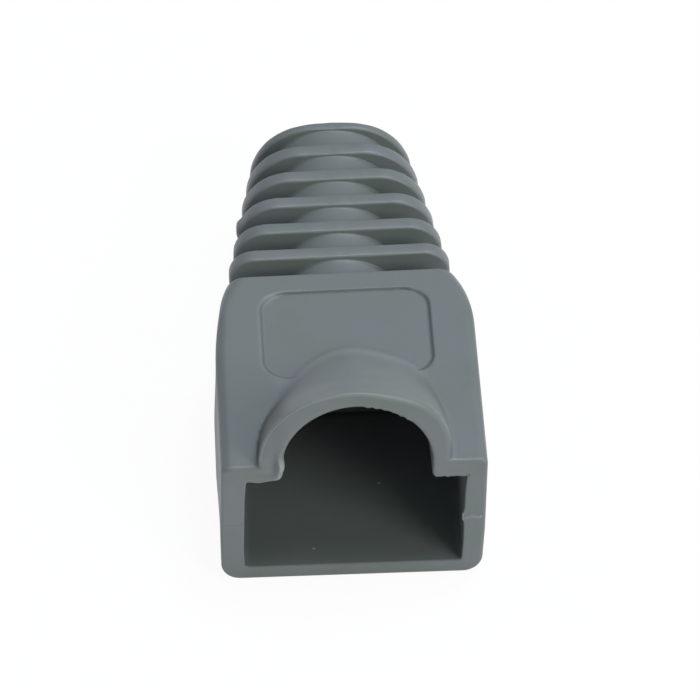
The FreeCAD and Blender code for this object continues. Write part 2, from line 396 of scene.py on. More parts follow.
@dataclass
class Block:
    """The box that holds the plug, with shoulders that narrow to the neck."""

    width: float = 14.2
    height: float = 8.0
    length: float = 15.95
    top_corner: float = 0.35
    bottom_corner: float = 1.0
    shoulder: float = 4.5
    root_width: float = 12.7
    root_corner: float = 1.1
    mouth_edge: float = 0.2
    rear_edge: float = 0.12
    top_from: float = 0.3
    panel: Panel = field(default_factory=Panel)

    @property
    def axis(self) -> float:
        """Give the height of the axis."""
        return self.height / 2

    def reach(self, angles: np.ndarray, along: float, inset: float) -> np.ndarray:
        """Find the block's outline at a place along Y.

        Args:
            angles: Directions round the axis.
            along: The place along Y.
            inset: How far an edge's rounding draws the outline in.

        Returns:
            The reach in each direction.
        """
        share = (max(along - (self.length - self.shoulder), 0) / self.shoulder) ** 2
        half = (self.width - (self.width - self.root_width) * share) / 2 - inset
        top = self.top_corner + (self.root_corner - self.top_corner) * share
        bottom = self.bottom_corner + (self.root_corner - self.bottom_corner) * share
        middle = self.axis - inset
        reach = rounded_box_reach(angles, half, middle, middle, max(top - inset, LEAST_CORNER),
                                  max(bottom - inset, LEAST_CORNER))
        rise = np.maximum(np.sin(angles), TINY)
        on_top = (np.sin(angles) > self.top_from) & (reach * rise > middle - TOUCHING)
        lowered = (middle - self.panel.drop(reach * np.cos(angles), along)) / rise
        return np.where(on_top, lowered, reach)


@dataclass
class LatchHood:
    """The arched hood over the plug's latch, and its hollow.

    The real arch is lopsided: fuller on its right, fuller on its left near the mouth, and lower on
    its left where it dies away. Turns are degrees round the arch's own centre.
    """

    radius: float = 5.0
    wall: float = 1.0
    length: float = 9.35
    front_edge: float = 0.4
    left_front_edge: float = 0.14
    left_side: Ramp = Ramp(0.5, -0.5)
    inner_edge: float = 0.2
    worn_edge: float = 0.25
    foot_fillet: float = 0.28
    lip_fillet: float = 0.35
    right_full: Bump = Bump(36.0, 34.0, 0.46)
    right_end: Ramp = Ramp(86.0, 46.0)
    left_full: Bump = Bump(150.0, 40.0, 0.2)
    left_near_mouth: Ramp = Ramp(5.5, 1.0)
    left_lag: float = 0.2
    lag_from: Ramp = Ramp(2.5, 6.0)
    rounds: int = 6

    def spring(self, along: float, block: Block) -> float:
        """Give the height of the arch's centre above the axis at a place along Y."""
        return block.axis - along * self.radius / self.length

    def outer(self, angles: np.ndarray, along: float, block: Block) -> np.ndarray:
        """Find the hood's outside, whose size depends on the place that it reaches.

        Args:
            angles: Directions round the axis.
            along: The place along Y.
            block: The block that it stands on.

        Returns:
            The reach in each direction.
        """
        sharp = self.left_side.at(np.cos(angles))
        edge = self.front_edge + (self.left_front_edge - self.front_edge) * sharp
        inner = self.radius - edge_inset(along, edge)
        middle = self.spring(along, block)
        lag = self.left_lag * self.radius / self.length * self.lag_from.at(along)
        near_mouth = self.left_near_mouth.at(along)
        radius = inner
        spring = np.full_like(angles, middle)
        for _ in range(self.rounds):
            reach = arch_reach(angles, radius, spring)
            across = reach * np.cos(angles)
            turn = np.degrees(np.arctan2(reach * np.sin(angles) - spring, across))
            right = self.right_full.at(turn) * self.right_end.at(turn)
            radius = inner + right + self.left_full.at(turn) * near_mouth
            spring = middle - lag * np.maximum(-across, 0)
        return arch_reach(angles, radius, spring)

    def inner(self, angles: np.ndarray, along: float, block: Block) -> np.ndarray:
        """Find the hollow's reach, whose edge at the mouth is more worn on the left.

        Args:
            angles: Directions round the axis.
            along: The place along Y.
            block: The block that the hood stands on.

        Returns:
            The reach in each direction.
        """
        edge = np.where(np.cos(angles) < 0, self.worn_edge, self.inner_edge)
        radius = self.radius - self.wall + edge_inset(along, edge)
        return arch_reach(angles, radius, self.spring(along, block))


@dataclass
class PlugSocket:
    """The square socket that the plug sits in."""

    width: float = 11.76
    floor: float = 0.75
    ceiling: float = 7.0
    depth: float = 12.6
    corner: float = 0.15
    mouth_edge: float = 0.09

    def reach(self, angles: np.ndarray, axis: float, flare: float) -> np.ndarray:
        """Give the socket's reach in each direction, widened by a flare."""
        return rounded_box_reach(angles, self.width / 2 + flare, self.ceiling - axis + flare,
                                 axis - self.floor + flare, self.corner, self.corner)


@dataclass
class RibbedNeck:
    """The flexible neck: a bored core with ribs that turn from nearly square to nearly round."""

    ribs: int = 5
    groove: float = 1.37
    rib: float = 0.92
    end_ring: float = 0.6
    tip_width: float = 9.1
    tip_height: float = 7.66
    tip_corner: float = 3.7
    core: float = 3.72
    bore: float = 2.9
    edge: float = 0.16
    fillet: float = 0.13
    rounding_share: float = 0.45

    def length(self) -> float:
        """Give the neck's whole length."""
        return (self.ribs + 1) * self.groove + self.ribs * self.rib + self.end_ring

    def rib_reach(self, angles: np.ndarray, middle: float, block: Block) -> np.ndarray:
        """Find a rib's outline.

        Args:
            angles: Directions round the axis.
            middle: The place of the rib's middle along Y, from the block's rear.
            block: The block that the neck grows from.

        Returns:
            The reach in each direction.
        """
        share = middle / self.length()
        width = block.root_width + (self.tip_width - block.root_width) * share
        height = block.height + (self.tip_height - block.height) * share
        corner = block.root_corner + (self.tip_corner - block.root_corner) * share
        return rounded_box_reach(angles, width / 2, height / 2, height / 2, corner, corner)

    def rib_rings(self, angles: np.ndarray, start: float, thickness: float,
                  block: Block) -> list[Ring]:
        """Make the rings of one rib, from the core up over it and down to the core again.

        Args:
            angles: Directions round the axis.
            start: Where the rib starts along Y, from the mouth.
            thickness: How thick it is along Y.
            block: The block that the neck grows from.

        Returns:
            The rings, in order along the skin.
        """
        outline = self.rib_reach(angles, start + thickness / 2 - block.length, block)
        most = (outline - self.core) * self.rounding_share
        edge = np.minimum(self.edge, most)
        fillet = np.minimum(self.fillet, most)
        rings = []
        for turn in QUARTER_TURN:
            foot = self.core + fillet * (1 - math.cos(turn))
            rings.append(Ring(Zone.NECK, foot, start - fillet * (1 - math.sin(turn))))
        for turn in QUARTER_TURN:
            crown = outline - edge * (1 - math.sin(turn))
            rings.append(Ring(Zone.NECK, crown, start + edge * (1 - math.cos(turn))))
        mirrored = [Ring(ring.zone, ring.reach, 2 * start + thickness - ring.along)
                    for ring in reversed(rings)]
        return rings + mirrored


@dataclass(frozen=True)
class OpeningEdge:
    """The opening's edge: a nub, a torn crown, two uneven ledges and a sliver of flash."""

    depth: float = 1.5
    fade: Bump = Bump(0.0, 0.55)
    nub: Bump = Bump(3.98, 0.33, 0.13)
    nub_rag: Rag = Rag(0.35, 2.0)
    nub_right_of: float = 5.0
    nub_pale: float = 5.0
    tear: float = 0.075
    tear_rag: Rag = Rag(1.0, 1.6)
    tear_start: Slope = Slope(66.0, 70.0)
    tear_end: Slope = Slope(90.0, 86.0)
    tear_above: float = 10.0
    ledge_height: Span = Span(6.8, 7.4)
    ledge: Span = Span(3.9, 5.95)
    ledge_wear: float = 0.1
    ledge_rag: Rag = Rag(0.8, 2.3)
    sliver: Bump = Bump(7.9, 0.55)
    sliver_width: Span = Span(-4.6, -3.2)
    sliver_above: float = 7.05
    sliver_push: float = 0.16
    sliver_painted_highlight: float = 0.85
    rim: Span = Span(-5.7, -4.1)
    rim_painted_highlight: float = 0.35
    sag: Bump = Bump(-5.25, 0.5, 0.13)
    sag_left_of: float = -3.9

    def apply(self, skin: Skin, boot: "MouldedBoot") -> None:
        """Put the faults into the skin.

        Args:
            skin: The skin.
            boot: The boot's sizes.
        """
        across, height = skin.across, skin.height
        edge = skin.in_zone(Zone.SOCKET) & (skin.along < self.depth)
        mouth = self.fade.at(skin.along)
        nub = self.nub.at(height) * (1 + self.nub_rag.at(height)) * mouth
        on_right = edge & (across > self.nub_right_of)
        skin.move(on_right, x=-nub)
        skin.lighten(on_right, self.nub_pale * nub)
        turn = skin.turn(boot.block.axis)
        torn = self.tear_start.at(turn) * self.tear_end.at(turn) * mouth
        torn = torn * self.tear * (1 + self.tear_rag.at(across))
        skin.move(edge & (height > self.tear_above), z=-torn)
        low = edge & self.ledge_height.holds(height)
        worn = self.ledge_wear * (1 + self.ledge_rag.at(across)) * mouth
        skin.move(low & self.ledge.holds(across), z=-worn)
        leg = edge & self.sliver_width.holds(across) & (height > self.sliver_above)
        sliver = self.sliver.at(height) * mouth
        skin.move(leg, x=self.sliver_push * sliver)
        # The sliver is real flash, and its pale is a painted highlight.
        skin.lighten(leg, self.sliver_painted_highlight * sliver)
        # Painted highlight on the left ledge's rim.
        skin.lighten(low & self.rim.holds(across), self.rim_painted_highlight * mouth)
        skin.move(low & (across < self.sag_left_of), z=-self.sag.at(across) * mouth)


@dataclass(frozen=True)
class SocketWarp:
    """The socket's shape: shifted to the right above, and pinched in at its floor's lip."""

    shift: float = 0.16
    floor_share: float = 0.4
    raised: Ramp = Ramp(5.5, 7.5)
    low: Slope = Slope(2.2, 0.9)
    lip: Bump = Bump(0.0, 2.5)
    lip_rise: float = 0.13
    lip_pinch: float = 0.05
    pinch_reach: float = 1.0
    back_wall: float = 0.4
    back_wall_shade: float = 0.7

    def apply(self, skin: Skin, boot: "MouldedBoot") -> None:
        """Put the warp into the skin.

        Args:
            skin: The skin.
            boot: The boot's sizes.
        """
        socket = skin.in_zone(Zone.SOCKET)
        share = self.floor_share + (1 - self.floor_share) * self.raised.at(skin.height)
        skin.move(socket, x=self.shift * boot.warp.twist.at(skin.along) * share)
        low = self.low.at(skin.height) * self.lip.at(skin.along)
        side = np.clip(skin.across / self.pinch_reach, -1, 1)
        skin.move(socket, x=-self.lip_pinch * low * side, z=self.lip_rise * low)
        # Painted shade darkens the socket's back wall.
        back = skin.along > boot.socket.depth - self.back_wall
        skin.shade(socket & back, self.back_wall_shade)


@dataclass(frozen=True)
class BodyWarp:
    """The soft body's shape: it leans and skews at the mouth, and its left side isn't straight."""

    twist: Slope = Slope(14.0, 0.0)
    lean: float = 0.3
    skew: float = 0.12
    slack: Bump = Bump(12.9, 2.2, 0.2)
    slack_side: Slope = Slope(-4.5, -6.5)
    bow: Bump = Bump(4.6, 1.8, 0.15)
    bow_side: Slope = Slope(-5.5, -6.5)
    bow_front: Ramp = Ramp(1.0, 4.0)
    bow_rear: Ramp = Ramp(11.5, 7.5)
    draft: float = 0.1
    draft_height: Slope = Slope(3.0, 0.0)
    draft_reach: float = 5.0
    # The profile of a line of painted shade along the top's left edge; the top also dips there.
    painted_shade: Bump = Bump(-6.8, 0.11)
    crease_rear: Ramp = Ramp(13.4, 11.4)
    crease_above: float = 7.6
    crease_depth: float = 0.03
    crease_shade: float = 0.3
    panel_right: float = 4.8
    panel_side: Ramp = Ramp(6.9, 4.8)
    panel_front: Ramp = Ramp(6.0, 7.0)
    panel_rear: Ramp = Ramp(15.4, 14.6)
    panel_above: float = 7.5

    def apply(self, skin: Skin, boot: "MouldedBoot") -> None:
        """Put the warp into the skin.

        Args:
            skin: The skin.
            boot: The boot's sizes.
        """
        across, along, height = skin.across, skin.along, skin.height
        block = boot.block
        twist = self.twist.at(along)
        skin.move(True, x=-self.lean * (1 - height / block.height) * twist,
                  y=-self.skew * across / (block.width / 2) * twist)
        outside = skin.in_zone(Zone.OUTSIDE)
        slack = self.slack.at(along) * self.slack_side.at(across)
        bow = self.bow.at(height) * self.bow_side.at(across)
        bow = bow * self.bow_front.at(along) * self.bow_rear.at(along)
        draft = self.draft * self.draft_height.at(height)
        draft = draft * np.clip(across / self.draft_reach, -1, 1)
        skin.move(outside, x=slack - bow - draft)
        stretch = block.panel.right_stretch * np.clip(across, 0, self.panel_right)
        stretch = stretch * self.panel_side.at(across)
        stretch = stretch * self.panel_front.at(along) * self.panel_rear.at(along)
        skin.move(outside & (height > self.panel_above), x=stretch)
        # Painted shade along the top's left edge, where the top also dips a little.
        painted_shade = self.painted_shade.at(across) * self.crease_rear.at(along)
        on_top = outside & (height > self.crease_above)
        skin.move(on_top, z=-self.crease_depth * painted_shade)
        skin.shade(on_top, self.crease_shade * painted_shade)


@dataclass(frozen=True)
class HoodMarks:
    """The hood's painted light on its top and edges, and painted shade down its left flank."""

    foot_on_panel: float = 7.9
    foot_on_top: float = 8.03
    foot_soft: float = 0.15
    crest: float = 0.16
    crest_side: Ramp = Ramp(4.4, 2.6)
    crest_rear: Ramp = Ramp(9.55, 9.25)
    brow: Bump = Bump(8.15, 0.3, 0.26)
    brow_front: Ramp = Ramp(6.0, 7.5)
    brow_side: Ramp = Ramp(4.3, 3.7)
    brow_above: float = 7.92
    brow_before: float = 11.0
    lip: float = 0.2
    lip_depth: Ramp = Ramp(0.16, 0.06)
    lip_side: Ramp = Ramp(0.0, -2.0)
    lip_above: float = 8.4
    flank: float = 0.5
    flank_side: Ramp = Ramp(-3.3, -4.2)
    flank_rear: Ramp = Ramp(6.6, 3.6)
    flank_front: Ramp = Ramp(0.1, 0.5)

    def apply(self, skin: Skin, boot: "MouldedBoot") -> None:
        """Put the marks onto the skin.

        Args:
            skin: The skin.
            boot: The boot's sizes.
        """
        across, along, height = skin.across, skin.along, skin.height
        outside = skin.in_zone(Zone.OUTSIDE)
        off_middle = np.abs(across)
        on_panel = along > boot.block.panel.front
        foot = np.where(on_panel, self.foot_on_panel, self.foot_on_top)
        # Painted light over the hood's top.
        crest = smooth_step((height - foot) / self.foot_soft) * self.crest_side.at(off_middle)
        skin.lighten(outside, self.crest * crest * self.crest_rear.at(along))
        # Painted highlight along the hood's rear foot.
        brow = self.brow.at(height) * self.brow_front.at(along) * self.brow_side.at(off_middle)
        on_end = (height > self.brow_above) & (along < self.brow_before)
        skin.lighten(outside & on_end, brow)
        # Painted highlight along its front edge on the left.
        lip = self.lip * self.lip_depth.at(along) * self.lip_side.at(across)
        skin.lighten(outside & (height > self.lip_above), lip)
        # Painted shade down its left flank.
        flank = self.flank_side.at(across) * self.flank_rear.at(along) * self.flank_front.at(along)
        skin.shade(outside & (height > self.foot_on_top), self.flank * flank)


@dataclass(frozen=True)
class NeckFaults:
    """The neck's faults: slightly uneven ribs, with a nub and a nick on the third."""

    rib_above_core: float = 0.1
    rag: Rag = Rag(0.012, 1.0)
    rag_round: float = 0.9
    rag_along: float = 0.4
    nub_along: float = 22.3
    nub_turn: float = 158.0
    nub_along_weight: float = 5.0
    nub: Bump = Bump(0.0, 3.4, 0.2)
    nick_across: float = -0.28
    nick_along: float = 22.2
    nick_above: float = 7.0
    nick: Bump = Bump(0.0, 0.17, 0.09)
    groove_over_core: float = 0.05
    groove_before: float = 28.0
    groove_shade: float = 0.08

    def apply(self, skin: Skin, boot: "MouldedBoot") -> None:
        """Put the faults into the skin.

        Args:
            skin: The skin.
            boot: The boot's sizes.
        """
        across, along = skin.across, skin.along
        rise = skin.height - boot.block.axis
        neck = skin.in_zone(Zone.NECK)
        radial = np.hypot(across, rise)
        on_rib = neck & (radial > boot.neck.core + self.rib_above_core)
        turn = skin.turn(boot.block.axis)
        swell = self.rag.at(np.radians(turn) * self.rag_round + along * self.rag_along)
        swell += self.nub.at(np.hypot(turn - self.nub_turn,
                                      (along - self.nub_along) * self.nub_along_weight))
        nick = self.nick.at(np.hypot(across - self.nick_across, along - self.nick_along))
        swell -= np.where(skin.height > self.nick_above, nick, 0)
        skin.move(on_rib, x=swell * across / radial, z=swell * rise / radial)
        # Painted shade on the core in the grooves.
        in_groove = (radial < boot.neck.core + self.groove_over_core) & (along < self.groove_before)
        skin.shade(neck & in_groove, self.groove_shade)


@dataclass(frozen=True)
class FrontFace:
    """The mouth's flat front, with the parting line across it and a hollow in its left leg.

    The shares place its rows between the opening's edge and the outer edge, and each row has its
    own part of the hollow.
    """

    shares: tuple[float, ...] = (0.02, 0.1, 0.24, 0.42, 0.6, 0.8, 0.98)
    line: Bump = Bump(0.0, 0.075)
    line_rag: Rag = Rag(0.09, 0.9)
    line_inside: float = 0.3
    ridge: float = 0.07
    ridge_rag: Rag = Rag(0.5, 1.7)
    ridge_pale: float = 0.55
    step: float = 0.035
    leg: Span = Span(-5.2, -3.2)
    leg_height: Span = Span(7.3, 9.6)
    hollow: Bump = Bump(8.1, 0.7)
    hollow_depth: tuple[float, ...] = (0.0, 0.0, 0.17, 0.12, 0.07, 0.0, 0.0)
    hollow_painted_highlight: tuple[float, ...] = (0.7, 0.1, 0.0, 0.0, 0.0, 0.0, 0.0)
    hollow_pale_power: int = 3
    hollow_shade: tuple[float, ...] = (0.0, 0.16, 0.3, 0.12, 0.0, 0.0, 0.0)
    arch_shade: float = 0.13
    arch_side: Ramp = Ramp(-3.3, -4.1)
    arch_foot: Ramp = Ramp(8.3, 9.1)
    arch_below: float = 11.0

    def rows(self, inner: np.ndarray, outer: np.ndarray,
             boot: "MouldedBoot") -> tuple[np.ndarray, np.ndarray, np.ndarray]:
        """Lay the rows between the front's two edges.

        Args:
            inner: The places round the opening's edge.
            outer: The places round the outer edge.
            boot: The boot's sizes.

        Returns:
            The rows of places, and how pale and how shaded each place is.
        """
        rows = np.stack([inner + (outer - inner) * share for share in self.shares])
        across, height = rows[..., 0], rows[..., 2]
        line = self.line.at(height - boot.block.axis - self.line_rag.at(across))
        beside = np.abs(across) > boot.socket.width / 2 - self.line_inside
        right = beside & (across > 0)
        rows[..., 1] -= np.where(right, self.ridge * line * (1 + self.ridge_rag.at(across)), 0)
        rows[..., 1] += np.where(beside & (across < 0), self.step * line, 0)
        leg = self.leg.holds(across) & self.leg_height.holds(height)
        hollow = np.where(leg, self.hollow.at(height), 0)
        rows[..., 1] += hollow * np.array(self.hollow_depth)[:, None]
        # Painted highlight at the opening's edge beside the hollow.
        pale = hollow ** self.hollow_pale_power * np.array(self.hollow_painted_highlight)[:, None]
        # Painted shade in the hollow and on the left leg above its foot.
        arch = self.arch_side.at(across) * self.arch_foot.at(height) * (height < self.arch_below)
        shaded = hollow * np.array(self.hollow_shade)[:, None] + self.arch_shade * arch
        return rows, np.where(right, self.ridge_pale * line, pale), shaded


@dataclass(frozen=True)
class RingPlan:
    """Where the skin's directions and rings lie, closest where the shape turns or has detail.

    A stretch is its start, its end and its step. Directions are degrees from the level, the same
    on both sides: the parting line is near 0, the hood's sides are at 23 to 40 and the panel's
    side walls at 40 to 43.
    """

    above: tuple[tuple[float, float, float], ...] = (
        (0.0, 1.2, 0.4), (1.2, 5.1, 0.78), (5.1, 22.8, 2.95), (22.8, 40.2, 0.87),
        (40.2, 42.6, 0.2), (42.6, 60.0, 0.696), (60.0, 90.0, 1.0))
    below: tuple[tuple[float, float, float], ...] = (
        (0.0, 1.2, 0.4), (1.2, 5.1, 0.78), (5.1, 20.4, 2.55), (20.4, 45.6, 1.26),
        (45.6, 90.0, 3.7))
    mouth_edge: tuple[float, ...] = (0.0, 0.006, 0.024, 0.054, 0.095, 0.145, 0.2)
    body: tuple[tuple[float, float, float], ...] = (
        (0.3, 9.79, 0.14), (9.8, 12.5, 0.34), (12.6, 14.2, 0.13), (14.3, 14.58, 0.04))
    behind_panel: float = 14.63
    behind_panel_step: float = 0.21
    before_rear_edge: float = 0.1
    rear_edge: tuple[float, ...] = (0.0, 0.04, 0.08, 0.108)
    bore_from_end: float = 2.0
    bore_from_socket: float = 1.0
    bore_rings: int = 7
    socket: tuple[tuple[float, float, float], ...] = ((12.0, 9.5, -0.7), (9.4, 0.4, -0.24))
    opening_edge: tuple[float, ...] = (0.25, 0.18, 0.125, 0.08, 0.045, 0.02, 0.005, 0.0)

    def directions(self) -> np.ndarray:
        """Spread the directions round the axis.

        Returns:
            The directions in radians, once round from the right-hand side.
        """
        upper, under = (np.concatenate([np.arange(start, end - STOP_SHORT, step)
                                        for start, end, step in stretches])
                        for stretches in (self.above, self.below))
        return np.radians(np.concatenate([upper, [90.0], 180.0 - upper[::-1], 180.0 + under[1:],
                                          [270.0], 360.0 - under[:0:-1]]))

    def outside(self, block: Block) -> np.ndarray:
        """Place the block's rings.

        Args:
            block: The block.

        Returns:
            The places along Y, from the mouth to the rear.
        """
        edge = block.length - block.rear_edge
        behind = np.arange(self.behind_panel, edge - self.before_rear_edge, self.behind_panel_step)
        return np.concatenate([self.mouth_edge, *(np.arange(*stretch) for stretch in self.body),
                               behind, edge + np.array(self.rear_edge), [block.length]])

    def inside(self) -> np.ndarray:
        """Give the places of the socket's rings along Y, from its back to the mouth."""
        return np.concatenate([*(np.arange(*stretch) for stretch in self.socket),
                               self.opening_edge])


@dataclass
class MouldedBoot:
    """The whole boot as one closed skin of rings round the neck's axis."""

    block: Block = field(default_factory=Block)
    hood: LatchHood = field(default_factory=LatchHood)
    socket: PlugSocket = field(default_factory=PlugSocket)
    neck: RibbedNeck = field(default_factory=RibbedNeck)
    plan: RingPlan = RingPlan()
    front: FrontFace = FrontFace()
    warp: BodyWarp = BodyWarp()
    edge: OpeningEdge = OpeningEdge()
    socket_warp: SocketWarp = SocketWarp()
    hood_marks: HoodMarks = HoodMarks()
    neck_faults: NeckFaults = NeckFaults()

    def outer_ring(self, angles: np.ndarray, along: float) -> Ring:
        """Make a ring of the block's outside, with the hood on it.

        Args:
            angles: Directions round the axis.
            along: The place along Y.

        Returns:
            The ring.
        """
        block = self.block
        inset = edge_inset(along, block.mouth_edge)
        inset += edge_inset(block.length - along, block.rear_edge)
        reach = soft_max(block.reach(angles, along, inset), self.hood.outer(angles, along, block),
                         self.hood.foot_fillet)
        return Ring(Zone.OUTSIDE, reach, np.full_like(angles, along))

    def neck_rings(self, angles: np.ndarray) -> list[Ring]:
        """Make the rings of the neck's outside, from the block's rear to the end face.

        Args:
            angles: Directions round the axis.

        Returns:
            The rings. The last one has no fillet down to the core, as the end face is flat.
        """
        neck = self.neck
        start = self.block.length
        rings = []
        for turn in QUARTER_TURN:
            foot = neck.core + neck.fillet * (1 - math.sin(turn))
            place = start + neck.fillet * (1 - math.cos(turn))
            rings.append(Ring(Zone.NECK, np.full_like(angles, foot), np.full_like(angles, place)))
        for thickness in [neck.rib] * neck.ribs + [neck.end_ring]:
            start += neck.groove
            rings += neck.rib_rings(angles, start, thickness, self.block)
            start += thickness
        return rings[:-len(QUARTER_TURN)]

    def bore_rings(self, angles: np.ndarray) -> list[Ring]:
        """Make the rings of the cable's bore, from the end face to the socket's back wall.

        Args:
            angles: Directions round the axis.

        Returns:
            The rings.
        """
        neck = self.neck
        end = self.block.length + neck.length()
        depth = self.socket.depth
        rings = [(neck.bore + neck.edge * (1 - math.sin(turn)),
                  end - neck.edge * (1 - math.cos(turn))) for turn in QUARTER_TURN]
        rings += [(neck.bore, place)
                  for place in np.linspace(end - self.plan.bore_from_end,
                                           depth + self.plan.bore_from_socket,
                                           self.plan.bore_rings)]
        rings += [(neck.bore + neck.edge * (1 - math.sin(turn)),
                   depth + neck.edge * (1 - math.cos(turn))) for turn in QUARTER_TURN[::-1]]
        return [Ring(Zone.BORE, np.full_like(angles, reach), np.full_like(angles, place))
                for reach, place in rings]

    def inner_ring(self, angles: np.ndarray, along: float, inset: float) -> Ring:
        """Make a ring of the socket, with the hood's hollow over it.

        Args:
            angles: Directions round the axis.
            along: The place along Y.
            inset: How far the fillet at the back wall draws the socket in.

        Returns:
            The ring.
        """
        flare = edge_inset(along, self.socket.mouth_edge) - inset
        reach = soft_max(self.socket.reach(angles, self.block.axis, flare),
                         self.hood.inner(angles, along, self.block), self.hood.lip_fillet)
        return Ring(Zone.SOCKET, reach, np.full_like(angles, along))

    def socket_rings(self, angles: np.ndarray) -> list[Ring]:
        """Make the rings of the plug socket, from its back wall to the mouth.

        Args:
            angles: Directions round the axis.

        Returns:
            The rings.
        """
        corner, depth = self.socket.corner, self.socket.depth
        rings = [self.inner_ring(angles, depth - corner * (1 - math.cos(turn)),
                                 corner * (1 - math.sin(turn))) for turn in QUARTER_TURN]
        return rings + [self.inner_ring(angles, float(place), 0.0)
                        for place in self.plan.inside()]

    def skin(self, angles: np.ndarray) -> tuple[np.ndarray, np.ndarray, np.ndarray]:
        """Lay the whole skin, with the small faults that the real moulding has.

        Args:
            angles: Directions round the axis.

        Returns:
            The rows of places in millimetres, and how pale and how shaded each place is.
        """
        rings = [self.outer_ring(angles, float(place)) for place in self.plan.outside(self.block)]
        rings += self.neck_rings(angles) + self.bore_rings(angles) + self.socket_rings(angles)
        skin = Skin.of_rings(rings, angles, self.block.axis)
        for faults in (self.edge, self.socket_warp, self.warp, self.hood_marks, self.neck_faults):
            faults.apply(skin, self)
        places = skin.places + skin.shift
        front, pale, shaded = self.front.rows(places[-1], places[0], self)
        return (np.concatenate([places, front]),
                np.concatenate([np.clip(skin.pale, 0, 1), pale]),
                np.concatenate([skin.shaded, shaded]))

    def build(self, material: bpy.types.Material) -> bpy.types.Object:
        """Make the boot's mesh and dress it.

        Args:
            material: The finish of the whole piece.

        Returns:
            The boot's object.
        """
        angles = self.plan.directions()
        rows, pale, shaded = self.skin(angles)
        points = rows.reshape(-1, 3) * MM
        points[:, 1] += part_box(NODE)[0][1]
        here = np.arange(len(angles))
        beside = (here + 1) % len(angles)
        faces = []
        for number in range(len(rows)):
            start = number * len(angles)
            after = (number + 1) % len(rows) * len(angles)
            faces.append(np.stack([start + here, start + beside, after + beside, after + here],
                                  axis=1))
        mesh = bpy.data.meshes.new("boot")
        mesh.from_pydata(points.tolist(), [], np.concatenate(faces).tolist())
        mesh.validate()
        mesh.shade_smooth()
        # The pale mark is thin flash and painted highlights; the shaded mark is painted shade.
        for name, marks in ((PALE, pale), (SHADED, shaded)):
            mesh.attributes.new(name, "FLOAT", "POINT").data.foreach_set("value", marks.ravel())
        mesh.materials.append(material)
        boot = bpy.data.objects.new("boot", mesh)
        bpy.context.scene.collection.objects.link(boot)
        weighted = boot.modifiers.new("flat_faces_stay_flat", "WEIGHTED_NORMAL")
        weighted.weight = LARGEST_FACE
        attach(boot, BODY)
        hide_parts(NODE)
        return boot


